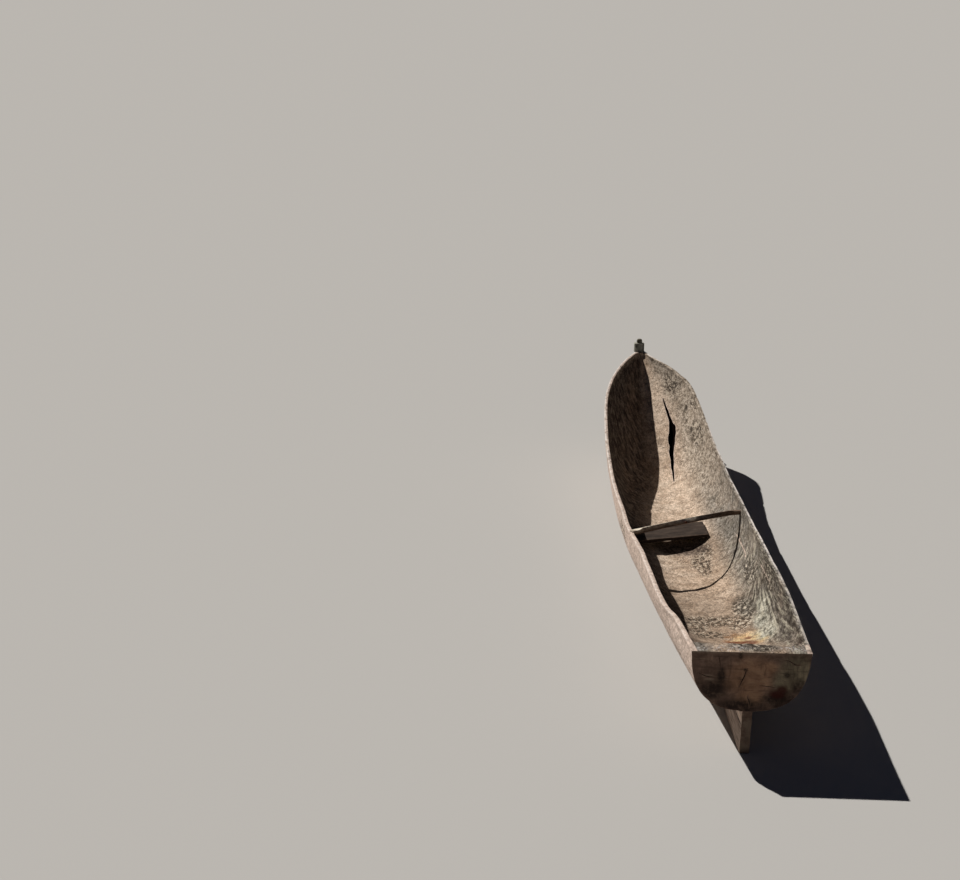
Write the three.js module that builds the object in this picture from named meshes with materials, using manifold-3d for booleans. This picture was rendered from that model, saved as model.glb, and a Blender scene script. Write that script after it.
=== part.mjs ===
// Dugout canoe: one hollowed log with a pointed bow and a flat stern, a skeg board under the
// stern, a stem block at the bow, a cross batten let into the sides and a low cross plank.
// Millimetres, +Z up, bow towards +Y. The origin is on the ground, below the middle of the hull.

import * as THREE from 'three';
import { mergeVertices } from 'three/addons/utils/BufferGeometryUtils.js';
import Module from 'manifold-3d';

const wasm = await Module();
wasm.setup();

// Driving dimensions
const hullLength = 3630;
const sternY = -hullLength / 2;
const gap = 0.3;
const railThickness = 18;
const cutOver = 1;
const mergeTolerance = 1e-4;

// Outer lines of the hull. Each row is [distance from the stern, half breadth at the rail,
// rail height, keel height, half width of the flat along the keel, section fullness].
const outerLines = [
  [0, 181, 345, 144, 20, 2.55],
  [430, 218, 344, 98, 20, 2.7],
  [895, 251, 316, 48, 24, 2.5],
  [1430, 282, 287, 11, 40, 2.4],
  [1760, 291, 292, 0, 55, 2.3],
  [2200, 291, 330, 0, 55, 2.25],
  [2505, 285, 374, 8, 40, 2.15],
  [2760, 273, 430, 44, 26, 2.05],
  [2935, 258, 471, 110, 18, 1.95],
  [3128, 222, 520, 210, 14, 1.85],
  [3290, 172, 559, 306, 12, 1.8],
  [3450, 103, 597, 410, 11, 1.8],
  [3518, 62, 614, 458, 10, 1.8],
  [3574, 38, 619, 501, 10, 1.8],
  [3630, 30, 619, 540, 10, 1.8],
];

// Floor of the hollow. Each row is [distance from the stern, floor height].
const hollowFloor = [
  [64, 344],
  [110, 306],
  [210, 256],
  [336, 198],
  [640, 122],
  [1070, 76],
  [1500, 54],
  [2000, 43],
  [2400, 46],
  [2640, 66],
  [2810, 112],
  [3000, 200],
  [3200, 312],
  [3400, 440],
  [3520, 558],
  [3556, 594],
];

// Distances from the stern of the sections, closer together where the ends curve
const outerStations = [0, 140, 290, 430, 590, 740, 895, 1070, 1250, 1430, 1600, 1760, 1980, 2200,
  2360, 2505, 2640, 2760, 2850, 2935, 3030, 3128, 3210, 3290, 3370, 3450, 3518, 3574,
  3630];
const hollowStations = [64, 110, 210, 336, 480, 640, 850, 1070, 1290, 1500, 1750, 2000, 2200, 2400,
  2520, 2640, 2730, 2810, 2900, 3000, 3100, 3200, 3300, 3400, 3460, 3490, 3520, 3556];
const outerSteps = 13;
const hollowSteps = 12;
const hollowTop = 60;
const hollowFlat = { half: 16, share: 0.4 };
const hollowTip = { end: 3564, half: 7, widening: 0.9 };
const taperReach = 20;

// Split along the grain in the floor near the bow, open to the hollow alone. Each row is
// [distance from the stern, distance right of the centreline, width at the mouth, width at the root].
const splitLine = [
  [3236, 114, 6, 3],
  [3135, 129, 14, 5],
  [3061, 139, 18, 7],
  [3000, 143, 46, 14],
  [2945, 142, 58, 18],
  [2889, 134, 40, 13],
  [2812, 127, 28, 9],
  [2700, 120, 18, 7],
  [2560, 110, 6, 3],
];
const splitReach = { aboveHollow: 12, woodLeft: 14 };

const skeg = { length: 860, footLength: 690, width: 34 };
const treenail = { radius: 8, grip: 30, recess: 2, sides: 14, fromStern: [90, 330, 560] };
const stemBlock = { width: 64, length: 56, height: 56, chamfer: 6, fromMiddle: -6 };
const stemPeg = { radius: 9, grip: 40, headRadius: 19, headHeight: 27, sides: 18 };

// Outline of the peg's rough head. Each row is [share of the head's radius, share of its height].
const pegHeadProfile = [[0.8, 0], [1, 0.35], [0.85, 0.75], [0, 1]];
const batten = { width: 24, height: 21 };

// Middle line of the bent batten. Each row is [distance right of the centreline, distance from the
// stern, height].
const battenLine = [
  [-257, 1170, 285],
  [-150, 1225, 291],
  [-70, 1278, 290],
  [34, 1362, 282],
  [130, 1457, 266],
  [216, 1540, 252],
  [272, 1574, 246],
];
const aboveRail = 60;

// Nail in the middle of one run of the batten, counted from the left
const battenNail = { run: 2, radius: 2.5, grip: 14, headRadius: 6, headHeight: 2.5, sides: 12 };

// Low plank: two places on its upper stern edge, given like those of the batten, how far it is drawn
// past both before it is cut to the hollow, and where its right end is sawn off
const crossBoard = {
  width: 165,
  thickness: 19,
  edge: [[-121, 1540, 119], [156, 1684, 96]],
  past: 110,
  rightEnd: 157,
};

const finishes = {
  hull: { color: 0xa0917f, roughness: 0.92, metalness: 0 },
  skeg: { color: 0x6b5a4b, roughness: 0.9, metalness: 0 },
  dark: { color: 0x4a3d33, roughness: 0.88, metalness: 0 },
  stem: { color: 0x595850, roughness: 0.9, metalness: 0 },
  peg: { color: 0x7a6650, roughness: 0.85, metalness: 0 },
  iron: { color: 0x4b2f22, roughness: 0.8, metalness: 0.4 },
};

const canoe = new THREE.Group();

// Value of a table's column at a distance from the stern: a smooth curve with no overshoot
function lineAt(table, column, distance) {
  const last = table.length - 1;
  const above = table.findIndex((row) => row[0] > distance);
  const start = above < 0 ? last - 1 : Math.max(above - 1, 0);
  const slope = (row) => (table[row + 1][column] - table[row][column])
    / (table[row + 1][0] - table[row][0]);
  const blend = (a, b) => (a * b <= 0 ? 0 : (2 * a * b) / (a + b));
  const here = slope(start);
  const startSlope = start > 0 ? blend(slope(start - 1), here) : here;
  const endSlope = start + 2 <= last ? blend(here, slope(start + 1)) : here;
  const span = table[start + 1][0] - table[start][0];
  const t = (distance - table[start][0]) / span;
  const [t2, t3] = [t * t, t * t * t];
  return (2 * t3 - 3 * t2 + 1) * table[start][column] + (t3 - 2 * t2 + t) * span * startSlope
    + (3 * t2 - 2 * t3) * table[start + 1][column] + (t3 - t2) * span * endSlope;
}

const breadthAt = (distance) => lineAt(outerLines, 1, distance);
const railAt = (distance) => lineAt(outerLines, 2, distance);
const keelAt = (distance) => lineAt(outerLines, 3, distance);

// Keel height on the straight run between two sections
function keelOnFacet(distance) {
  const next = outerStations.findIndex((station) => station > distance);
  const [a, b] = [outerStations[next - 1], outerStations[next]];
  return keelAt(a) + ((keelAt(b) - keelAt(a)) * (distance - a)) / (b - a);
}

// Measures of a section of the log: half breadth, rail, keel, flat, fullness
const outerSection = (d) => [1, 2, 3, 4, 5].map((column) => lineAt(outerLines, column, d));

// The same measures of a section of the hollow
function hollowSection(d, clearance) {
  const taper = (breadthAt(d + taperReach) - breadthAt(d - taperReach)) / (2 * taperReach);
  const insideWall = breadthAt(d) - railThickness * Math.hypot(1, taper);
  const insideTip = hollowTip.half + (hollowTip.end - d) * hollowTip.widening;
  const halfBreadth = Math.min(insideWall, insideTip) - clearance;
  const floor = lineAt(hollowFloor, 1, d) + clearance;
  const flat = Math.min(hollowFlat.half, halfBreadth * hollowFlat.share);
  return [halfBreadth, railAt(d), floor, flat, lineAt(outerLines, 5, d)];
}

// Height of a section's surface at a distance from the centreline
function heightOn([halfBreadth, rail, floor, flat, fullness], x) {
  const drop = (half) => Math.pow(1 - Math.pow(half / halfBreadth, fullness), 1 / fullness);
  return rail - ((rail - floor) * drop(x)) / drop(flat);
}

// Half section from the rail down to the edge of the flat along the keel, as [x, z] points
function halfSection(halfBreadth, rail, floor, flat, fullness, steps) {
  const end = Math.acos(Math.pow(flat / halfBreadth, fullness / 2));
  const full = Math.pow(Math.sin(end), 2 / fullness);
  const points = [];
  for (let i = 0; i <= steps; i += 1) {
    const angle = (end * i) / steps;
    const x = halfBreadth * Math.pow(Math.cos(angle), 2 / fullness);
    const drop = Math.pow(Math.sin(angle), 2 / fullness) / full;
    points.push([x, rail - (rail - floor) * drop]);
  }
  return points;
}

// Closed ring at one distance from the stern: a right half section and its mirror image
function ringAt(distance, half) {
  const left = half.map(([x, z]) => [-x, z]).reverse();
  return [...half, ...left].map(([x, z]) => new THREE.Vector3(x, sternY + distance, z));
}

// Closed body through rings that have the same number of points, with flat ends
function loft(rings) {
  const count = rings[0].length;
  const index = [];
  for (let r = 0; r < rings.length - 1; r += 1) {
    for (let i = 0; i < count; i += 1) {
      const a = r * count + i;
      const b = r * count + ((i + 1) % count);
      index.push(a, b, a + count, b, b + count, a + count);
    }
  }
  const end = (rings.length - 1) * count;
  for (let i = 0; i < count / 2 - 1; i += 1) {
    const [a, b, c, d] = [i, i + 1, count - 1 - i, count - 2 - i];
    index.push(a, c, b, b, c, d);
    index.push(end + a, end + b, end + c, end + b, end + d, end + c);
  }
  const positions = rings.flat().flatMap((p) => [p.x, p.y, p.z]);
  const geometry = new THREE.BufferGeometry();
  geometry.setAttribute('position', new THREE.Float32BufferAttribute(positions, 3));
  geometry.setIndex(index);
  return outward(geometry);
}

// The same indexed geometry with its faces pointing out
function outward(geometry) {
  const p = geometry.attributes.position;
  const index = geometry.index.array;
  const corner = (i) => new THREE.Vector3().fromBufferAttribute(p, index[i]);
  let volume = 0;
  for (let i = 0; i < index.length; i += 3) {
    volume += corner(i).dot(corner(i + 1).cross(corner(i + 2)));
  }
  for (let i = 0; volume < 0 && i < index.length; i += 3) {
    [index[i + 1], index[i + 2]] = [index[i + 2], index[i + 1]];
  }
  return geometry;
}

// Indexed geometry of positions alone, with equal vertices made one
function mergedOf(geometry) {
  const bare = geometry.clone();
  bare.deleteAttribute('normal');
  bare.deleteAttribute('uv');
  return mergeVertices(bare, mergeTolerance);
}

function toSolid(geometry) {
  const merged = mergedOf(geometry);
  const vertProperties = new Float32Array(merged.attributes.position.array);
  const triVerts = new Uint32Array(merged.index.array);
  return new wasm.Manifold(new wasm.Mesh({ numProp: 3, vertProperties, triVerts }));
}

function toGeometry(solid) {
  const mesh = solid.getMesh();
  const geometry = new THREE.BufferGeometry();
  geometry.setAttribute('position', new THREE.Float32BufferAttribute(mesh.vertProperties, 3));
  geometry.setIndex(new THREE.Uint32BufferAttribute(mesh.triVerts, 1));
  geometry.computeVertexNormals();
  return geometry;
}

function addPiece(name, solid, finish) {
  const piece = new THREE.Mesh(toGeometry(solid), new THREE.MeshStandardMaterial(finish));
  piece.name = name;
  canoe.add(piece);
}

// Upright round bar from one height to another
function uprightBar(radius, sides, x, y, bottom, top) {
  const geometry = new THREE.CylinderGeometry(radius, radius, top - bottom, sides);
  geometry.rotateX(Math.PI / 2);
  geometry.translate(x, y, (bottom + top) / 2);
  return toSolid(geometry);
}

// The outer log and its hollow
function logSolid() {
  const rings = outerStations.map((d) => ringAt(d, halfSection(...outerSection(d), outerSteps)));
  return toSolid(loft(rings));
}

function hollowSolid(clearance) {
  const rings = hollowStations.map((d) => {
    const half = halfSection(...hollowSection(d, clearance), hollowSteps);
    return ringAt(d, [[half[0][0], railAt(d) + hollowTop], ...half]);
  });
  return toSolid(loft(rings));
}

// Wedge that opens the split, from above the hollow's surface down to the wood left below it
function splitSolid() {
  const rings = splitLine.map(([d, x, mouth, root]) => {
    const top = (across) => [across, heightOn(hollowSection(d, 0), across) + splitReach.aboveHollow];
    const bottom = (across) => [across, heightOn(outerSection(d), across) + splitReach.woodLeft];
    const corners = [top(x + mouth / 2), bottom(x + root / 2), bottom(x - root / 2), top(x - mouth / 2)];
    return corners.map(([across, z]) => new THREE.Vector3(across, sternY + d, z));
  });
  return toSolid(loft(rings));
}

const pointOf = ([x, fromStern, z]) => new THREE.Vector3(x, sternY + fromStern, z);

// Axes of a run from left to right: along it, across it towards the bow, and up
function frameOf(from, to) {
  const along = to.clone().sub(from).normalize();
  const across = new THREE.Vector3(-along.y, along.x, 0).normalize();
  const up = along.clone().cross(across);
  const middle = from.clone().add(to).multiplyScalar(0.5);
  return { along, across, up, middle, length: from.distanceTo(to) };
}

// The batten, larger all round and higher by the given amounts
function battenSolid(grown, raised) {
  const points = battenLine.map(pointOf);
  const last = points.length - 1;
  const [w, h] = [batten.width / 2 + grown, batten.height / 2 + grown];
  const rings = points.map((point, n) => {
    const { along, across, up } = frameOf(points[Math.max(n - 1, 0)], points[Math.min(n + 1, last)]);
    const longer = grown * (Number(n === last) - Number(n === 0));
    const corner = (side, height) => point.clone().addScaledVector(along, longer)
      .addScaledVector(across, side).addScaledVector(up, height);
    return [corner(w, h + raised), corner(w, -h), corner(-w, -h), corner(-w, h + raised)];
  });
  return toSolid(loft(rings));
}

// Round bar that starts in the stern side of the batten, at a distance out of its face
function nailBar(radius, inside, outside) {
  const run = battenLine.slice(battenNail.run, battenNail.run + 2).map(pointOf);
  const { along, across, up, middle } = frameOf(...run);
  const face = -batten.width / 2;
  const geometry = new THREE.CylinderGeometry(radius, radius, inside + outside, battenNail.sides);
  geometry.translate(0, face + (inside - outside) / 2, 0);
  geometry.applyMatrix4(new THREE.Matrix4().makeBasis(along, across, up).setPosition(middle));
  return toSolid(geometry);
}

const treenailY = treenail.fromStern.map((d) => sternY + d);
const treenailTop = treenail.fromStern.map((d) => keelOnFacet(d) + treenail.grip);

function treenailHole(n) {
  const [radius, top] = [treenail.radius + gap, treenailTop[n] + gap];
  return uprightBar(radius, treenail.sides, 0, treenailY[n], -cutOver, top);
}

const stemTop = railAt(hullLength);
const stemBlockY = sternY + hullLength - stemBlock.length / 2;

// Hull, with the batten's left end let in from above and its right end let into the side
let hull = logSolid().subtract(hollowSolid(0)).subtract(splitSolid());
const leftHousing = battenSolid(gap, aboveRail).trimByPlane([-1, 0, 0], 0);
hull = hull.subtract(leftHousing).subtract(battenSolid(gap, 0));
treenail.fromStern.forEach((d, n) => {
  hull = hull.subtract(treenailHole(n));
});
hull = hull.subtract(uprightBar(
  stemPeg.radius + gap,
  stemPeg.sides,
  stemBlock.fromMiddle,
  stemBlockY,
  stemTop - stemPeg.grip - gap,
  stemTop + cutOver,
));
addPiece('hull', hull, finishes.hull);

// Skeg board on edge, its top on the flat along the keel
function skegSolid() {
  const underHull = outerStations.filter((d) => d < skeg.length);
  const top = [...underHull, skeg.length].map((d) => [sternY + d, keelOnFacet(d) - gap]);
  const outline = [[sternY, 0], [sternY + skeg.footLength, 0], ...top.reverse()];
  const shape = new THREE.Shape(outline.map(([y, z]) => new THREE.Vector2(y, z)));
  const geometry = new THREE.ExtrudeGeometry(shape, { depth: skeg.width, bevelEnabled: false });
  geometry.rotateX(Math.PI / 2);
  geometry.rotateZ(Math.PI / 2);
  geometry.translate(-skeg.width / 2, 0, 0);
  return toSolid(geometry);
}

let skegBoard = skegSolid();
treenail.fromStern.forEach((d, n) => {
  skegBoard = skegBoard.subtract(treenailHole(n));
  const bar = uprightBar(treenail.radius, treenail.sides, 0, treenailY[n], treenail.recess, treenailTop[n]);
  addPiece(`skeg_treenail_${n + 1}`, bar, finishes.peg);
});
addPiece('stern_skeg', skegBoard, finishes.skeg);

// Stem block and the peg that holds it, whose rough head is the lump on top
function stemBlockSolid() {
  const [w, l, c] = [stemBlock.width / 2, stemBlock.length / 2, stemBlock.chamfer];
  const outline = [[w - c, -l], [w, c - l], [w, l - c], [w - c, l],
    [c - w, l], [-w, l - c], [-w, c - l], [c - w, -l]];
  const shape = new THREE.Shape(outline.map(([x, y]) => new THREE.Vector2(x, y)));
  const geometry = new THREE.ExtrudeGeometry(shape, { depth: stemBlock.height, bevelEnabled: false });
  geometry.translate(stemBlock.fromMiddle, stemBlockY, stemTop + gap);
  return toSolid(geometry);
}

const blockTop = stemTop + gap + stemBlock.height;
const blockHole = uprightBar(
  stemPeg.radius + gap,
  stemPeg.sides,
  stemBlock.fromMiddle,
  stemBlockY,
  stemTop - cutOver,
  blockTop + cutOver,
);
addPiece('stem_block', stemBlockSolid().subtract(blockHole), finishes.stem);

function stemPegSolid() {
  const { radius, headRadius, headHeight, grip } = stemPeg;
  const base = blockTop + gap;
  const head = pegHeadProfile.map(([across, up]) => [headRadius * across, base + headHeight * up]);
  const profile = [[0, stemTop - grip], [radius, stemTop - grip], [radius, base], ...head];
  const points = profile.map(([x, z]) => new THREE.Vector2(x, z));
  const geometry = new THREE.LatheGeometry(points, stemPeg.sides);
  geometry.rotateX(Math.PI / 2);
  geometry.translate(stemBlock.fromMiddle, stemBlockY, 0);
  return toSolid(outward(mergedOf(geometry)));
}

addPiece('stem_peg', stemPegSolid(), finishes.peg);

// Batten across the hull and the nail in its stern side
const nailHole = nailBar(battenNail.radius + gap, battenNail.grip + gap, cutOver);
addPiece('batten', battenSolid(0, 0).subtract(nailHole), finishes.dark);
const nailHead = nailBar(battenNail.headRadius, -gap, gap + battenNail.headHeight);
const nail = nailBar(battenNail.radius, battenNail.grip, gap + battenNail.headHeight).add(nailHead);
addPiece('batten_nail', nail, finishes.iron);

// Low plank across the hollow, cut to the hollow's curve
function crossBoardSolid() {
  const { width, thickness, edge, past, rightEnd } = crossBoard;
  const { along, across, up, middle, length } = frameOf(...edge.map(pointOf));
  const geometry = new THREE.BoxGeometry(length + 2 * past, width, thickness);
  geometry.translate(0, width / 2, -thickness / 2);
  geometry.applyMatrix4(new THREE.Matrix4().makeBasis(along, across, up).setPosition(middle));
  return toSolid(geometry).trimByPlane([-1, 0, 0], -rightEnd).intersect(hollowSolid(gap));
}

addPiece('cross_board', crossBoardSolid(), finishes.dark);

export default canoe;
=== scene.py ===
import functools
import itertools
import math

import bpy
import numpy as np
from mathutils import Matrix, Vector


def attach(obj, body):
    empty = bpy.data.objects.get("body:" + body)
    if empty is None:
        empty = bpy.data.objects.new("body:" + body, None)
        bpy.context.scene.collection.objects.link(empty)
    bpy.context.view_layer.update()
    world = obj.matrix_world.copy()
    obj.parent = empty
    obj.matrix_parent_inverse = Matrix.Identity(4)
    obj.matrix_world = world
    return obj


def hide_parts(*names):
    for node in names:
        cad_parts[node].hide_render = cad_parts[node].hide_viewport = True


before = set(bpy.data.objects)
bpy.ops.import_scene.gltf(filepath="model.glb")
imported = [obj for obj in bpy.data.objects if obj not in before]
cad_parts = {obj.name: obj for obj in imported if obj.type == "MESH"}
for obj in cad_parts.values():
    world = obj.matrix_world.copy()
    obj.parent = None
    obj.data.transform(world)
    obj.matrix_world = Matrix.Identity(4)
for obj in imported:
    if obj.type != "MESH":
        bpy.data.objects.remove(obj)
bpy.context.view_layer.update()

# Tables and shapes are in millimetres, with distances measured from the stern, and become metres
# where a mesh is made.
MM = 0.001
HULL_LENGTH = 3630
TO_FRAME = np.array([0, -HULL_LENGTH / 2, 0])
RAIL_THICKNESS = 18
LEDGE_END, LEDGE_DROP = 64, 0.4
GAP = 0.3
SHARP_ANGLE = 38

# Outer lines: distance, half breadth, rail height, keel height, half width of the flat, fullness
OUTER_LINES = np.array([
    [0, 181, 345, 144, 20, 2.55],
    [430, 218, 344, 98, 20, 2.7],
    [895, 251, 316, 48, 24, 2.5],
    [1430, 282, 287, 11, 40, 2.4],
    [1760, 291, 292, 0, 55, 2.3],
    [2200, 291, 330, 0, 55, 2.25],
    [2505, 285, 374, 8, 40, 2.15],
    [2760, 273, 430, 44, 26, 2.05],
    [2935, 258, 471, 110, 18, 1.95],
    [3128, 222, 520, 210, 14, 1.85],
    [3290, 172, 559, 306, 12, 1.8],
    [3450, 103, 597, 410, 11, 1.8],
    [3518, 62, 614, 458, 10, 1.8],
    [3574, 38, 619, 501, 10, 1.8],
    [3630, 30, 619, 540, 10, 1.8],
])
BREADTH, RAIL, KEEL, FULLNESS = 1, 2, 3, 5
STERN_TOP, STEM_TOP = OUTER_LINES[0, RAIL], OUTER_LINES[-1, RAIL]

# Floor of the hollow: distance, height
HOLLOW_FLOOR = np.array([
    [64, 344], [110, 306], [210, 256], [336, 198], [640, 122], [1070, 76], [1500, 54],
    [2000, 43], [2400, 46], [2640, 66], [2810, 112], [3000, 200], [3200, 312], [3400, 440],
    [3520, 558], [3556, 594],
])
HOLLOW_TIP = {"end": 3564, "half": 7, "widening": 0.9, "rise": 12}
HOLLOW_FLAT = {"half": 16, "share": 0.4}

# Reach over which a wall's slant is measured, and how much leaner the hollow gets near the bow
SLANT_REACH = 20
LEANER_BOW = {"start": 2650, "end": 3150, "by": 0.35}

# Split near the bow: distance, distance right of the middle, width at the mouth and at the root
SPLIT_LINE = np.array([
    (2560, 110, 6, 3), (2700, 120, 18, 7), (2812, 127, 28, 9), (2889, 134, 40, 13),
    (2945, 142, 58, 18), (3000, 143, 46, 14), (3061, 139, 18, 7), (3135, 129, 14, 5),
    (3236, 114, 6, 3),
], float)
SPLIT_REACH = {"above_hollow": 12, "wood_left": 14}

# Unevenness of each surface, as layers: depth, size of the waves, seed, octaves
UNEVEN = {
    "hull": [(1.6, (160, 320, 160), 51, 3)],
    "hull_skin": [(0.5, (9, 60, 9), 55, 2)],
    "transom": [(0.9, (60, 60, 22), 61, 3)],
    "nose": [(0.4, (24, 24, 24), 62, 3)],
    "rail": [(0.9, (200, 130, 200), 71, 3)],
    "batten": [(0.35, (9, 90, 9), 95, 3), (0.2, (4, 34, 4), 97, 2)],
    "board": [(0.35, (90, 8, 9), 101, 3), (0.3, (30, 30, 30), 103, 3)],
    "skeg": [(0.8, (20, 160, 14), 111, 3), (0.5, (9, 70, 6), 113, 2)],
    "block": [(0.9, (16, 16, 60), 121, 3), (0.5, (5, 5, 34), 123, 2)],
    "peg": [(0.35, (7, 7, 12), 131, 3)],
}


# Noise
def chance(cells, seed):
    """A number from 0 to 1 for every whole-numbered cell, the same on each run."""
    h = np.full(cells.shape[:-1], seed * 7919 + 17, np.int64)
    for axis in range(cells.shape[-1]):
        h = ((h ^ (cells[..., axis] & 0xFFFFFFFF)) * 1664525 + 1013904223) & 0xFFFFFFFF
        h ^= h >> 15
        h = (h * 1103515245) & 0xFFFFFFFF
        h ^= h >> 13
    return h / 2**32


def noise(points, size, seed):
    """Smooth noise from -1 to 1 with features of about the given size."""
    p = points / np.asarray(size, float)
    cell = np.floor(p).astype(np.int64)
    f = p - cell
    f = f * f * (3 - 2 * f)
    total = 0
    for corner in itertools.product((0, 1), repeat=p.shape[-1]):
        corner = np.array(corner)
        weight = np.prod(np.where(corner, f, 1 - f), axis=-1)
        total = total + weight * chance(cell + corner, seed)
    return total * 2 - 1


def waver(size, seed, *place):
    """Noise at one place."""
    return float(noise(np.array([place], float), size, seed)[0])


def rough(points, size, seed, octaves):
    """Noise of several sizes, each half the last, from about -1 to 1."""
    total = 0
    for n in range(octaves):
        total = total + noise(points, np.asarray(size, float) / 2**n, seed + n) / 2**n
    return total / (2 - 0.5 ** (octaves - 1))


def unevenness(points, surface):
    """Depth by which a surface is uneven at points."""
    return sum(depth * (1 + rough(points, size, seed, octaves))
               for depth, size, seed, octaves in UNEVEN[surface])


def tool_cuts(uv, size, seed):
    """Distance from 0 to 1 to the middle of the nearest tool cut, and that cut's random number."""
    p = uv / np.asarray(size, float)
    cell = np.floor(p).astype(np.int64)
    nearest = np.full(p.shape[:-1], 9.0)
    number = np.zeros(p.shape[:-1])
    for step in itertools.product((-1, 0, 1), repeat=2):
        c = cell + np.array(step)
        middle = c + 0.5 + 0.7 * (np.stack([chance(c, seed), chance(c, seed + 1)], -1) - 0.5)
        far = np.linalg.norm(p - middle, axis=-1)
        number = np.where(far < nearest, chance(c, seed + 2), number)
        nearest = np.minimum(far, nearest)
    return np.clip(nearest, 0, 1), number


def fade(x, start, end):
    """Smooth step from 0 at start to 1 at end."""
    t = np.clip((x - start) / (end - start), 0, 1)
    return t * t * (3 - 2 * t)


# Lines and sections of the hull
def curve(table, column, d):
    """Smooth curve with no overshoot through a table's column, at distances d."""
    x, y = table[:, 0], table[:, column]
    slope = np.diff(y) / np.diff(x)
    product, total = slope[:-1] * slope[1:], slope[:-1] + slope[1:]
    joined = np.where(product > 0, 2 * product / np.where(product > 0, total, 1), 0)
    tangent = np.concatenate([slope[:1], joined, slope[-1:]])
    d = np.clip(d, x[0], x[-1])
    i = np.clip(np.searchsorted(x, d, side="right") - 1, 0, len(x) - 2)
    span = x[i + 1] - x[i]
    t = (d - x[i]) / span
    t2, t3 = t * t, t * t * t
    return ((2 * t3 - 3 * t2 + 1) * y[i] + (t3 - 2 * t2 + t) * span * tangent[i]
            + (3 * t2 - 2 * t3) * y[i + 1] + (t3 - t2) * span * tangent[i + 1])


def lengths(line):
    """Length along a line up to each of its points."""
    return np.concatenate([[0], np.cumsum(np.linalg.norm(np.diff(line, axis=0), axis=1))])


def full_turn(count):
    return np.linspace(0, 2 * math.pi, count, endpoint=False)


# Points of a half section, and how much closer together they are at the rail
HALF_POINTS, CROWDING = 160, 1.6


def half_section(half, rail, floor, flat, fullness):
    """Fine points x, z from the rail, where they are closest together, to the middle line."""
    end = math.acos((flat / half) ** (fullness / 2))
    a = end * np.linspace(0, 1, HALF_POINTS) ** CROWDING
    x = half * np.cos(a) ** (2 / fullness)
    z = rail - (rail - floor) * (np.sin(a) / math.sin(end)) ** (2 / fullness)
    return np.stack([np.append(x, 0.0), np.append(z, floor)], 1)


def outer_half(d):
    return half_section(*(float(curve(OUTER_LINES, column, d)) for column in range(1, 6)))


def hollow_half(d):
    """Half section of the hollow, almost level with the rail on the ledge and past its tip."""
    reach = SLANT_REACH
    aft, breadth, fore = curve(OUTER_LINES, BREADTH, np.array([d - reach, d, d + reach]))
    run = min(d + reach, HULL_LENGTH) - max(d - reach, 0)
    wall = breadth - RAIL_THICKNESS * math.hypot(1, (fore - aft) / run)
    tip = HOLLOW_TIP["half"] + (HOLLOW_TIP["end"] - d) * HOLLOW_TIP["widening"]
    half = max(min(wall, tip), HOLLOW_TIP["half"])
    rail = float(curve(OUTER_LINES, RAIL, d))
    floor = float(curve(HOLLOW_FLOOR, 1, d))
    past_floor = d - HOLLOW_FLOOR[-1, 0]
    if d < LEDGE_END:
        floor = rail - LEDGE_DROP
    elif past_floor > 0:
        floor = min(floor + past_floor * HOLLOW_TIP["rise"], rail - LEDGE_DROP)
    flat = min(HOLLOW_FLAT["half"], half * HOLLOW_FLAT["share"])
    leaner = LEANER_BOW["by"] * float(fade(d, LEANER_BOW["start"], LEANER_BOW["end"]))
    return half_section(half, rail, floor, flat, float(curve(OUTER_LINES, FULLNESS, d)) - leaner)


def height_on(section, x):
    """Height of a half section's surface at a distance from the centreline."""
    return float(np.interp(abs(x), section[::-1, 0], section[::-1, 1]))


def section_at(d, x, z):
    """Points of a section across the boat."""
    return np.stack([x, np.full(len(x), d), z], 1)


def slice_at(z, outline):
    """Points of a level slice."""
    return np.column_stack([outline, np.full(len(outline), z)])


def rounded_ring(corners, radius, step=1.5, least=40):
    """Closed line with its corners worn round, for positions given as lengths, and its lengths."""
    loop = np.vstack([corners, corners[:1]])
    length = lengths(loop)
    total = length[-1]
    fine_t = np.linspace(0, total, max(int(total / step), least), endpoint=False)
    fine = np.stack([np.interp(fine_t, length, loop[:, n]) for n in range(2)], 1)

    def at(t):
        away = (t[:, None] - fine_t[None, :] + total / 2) % total - total / 2
        weight = np.exp(-0.5 * (away / radius) ** 2)
        return (weight @ fine) / weight.sum(1, keepdims=True)

    return at, length


# Meshes
def bands(first, last, count):
    """Faces between neighbouring rings, whose first vertices are numbered from first to last."""
    i = np.arange(count)
    j = (i + 1) % count
    return [face for a in range(first, last, count)
            for face in np.stack([a + i, a + j, a + count + j, a + count + i], 1).tolist()]


def closed_body(rings, start_caps, end_caps, start_middle=None, end_middle=None):
    """Vertices and faces of a closed body through rings, its ends closed by smaller rings."""
    rings = np.asarray(rings, float)
    count = rings.shape[1]

    def shrinking(ring, steps, middle):
        middle = ring.mean(0) if middle is None else np.asarray(middle, float)
        sizes = [1 - k / steps for k in range(1, steps)]
        return [middle + (ring - middle) * size for size in sizes] + [middle[None]]

    layers = [*shrinking(rings[0], start_caps, start_middle)[::-1], *rings,
              *shrinking(rings[-1], end_caps, end_middle)]
    last = 1 + (len(layers) - 3) * count
    i = np.arange(count)
    j = (i + 1) % count
    start_fan = np.stack([np.zeros(count, int), 1 + j, 1 + i], 1).tolist()
    end_fan = np.stack([last + i, last + j, np.full(count, last + count)], 1).tolist()
    return np.vstack(layers), start_fan + bands(1, last, count) + end_fan


def loft_with_flat_ends(rings):
    count = len(rings[0])
    end = (len(rings) - 1) * count
    faces = bands(0, end, count) + [list(range(count))[::-1], list(range(end, end + count))]
    return np.vstack(rings), faces


def volume(verts, faces):
    total = 0.0
    for size in (3, 4):
        picked = np.array([f for f in faces if len(f) == size])
        if len(picked):
            for n in range(1, size - 1):
                a, b, c = (verts[picked[:, m]] for m in (0, n, n + 1))
                total += np.einsum("ij,ij->i", a, np.cross(b, c)).sum()
    return total


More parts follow.
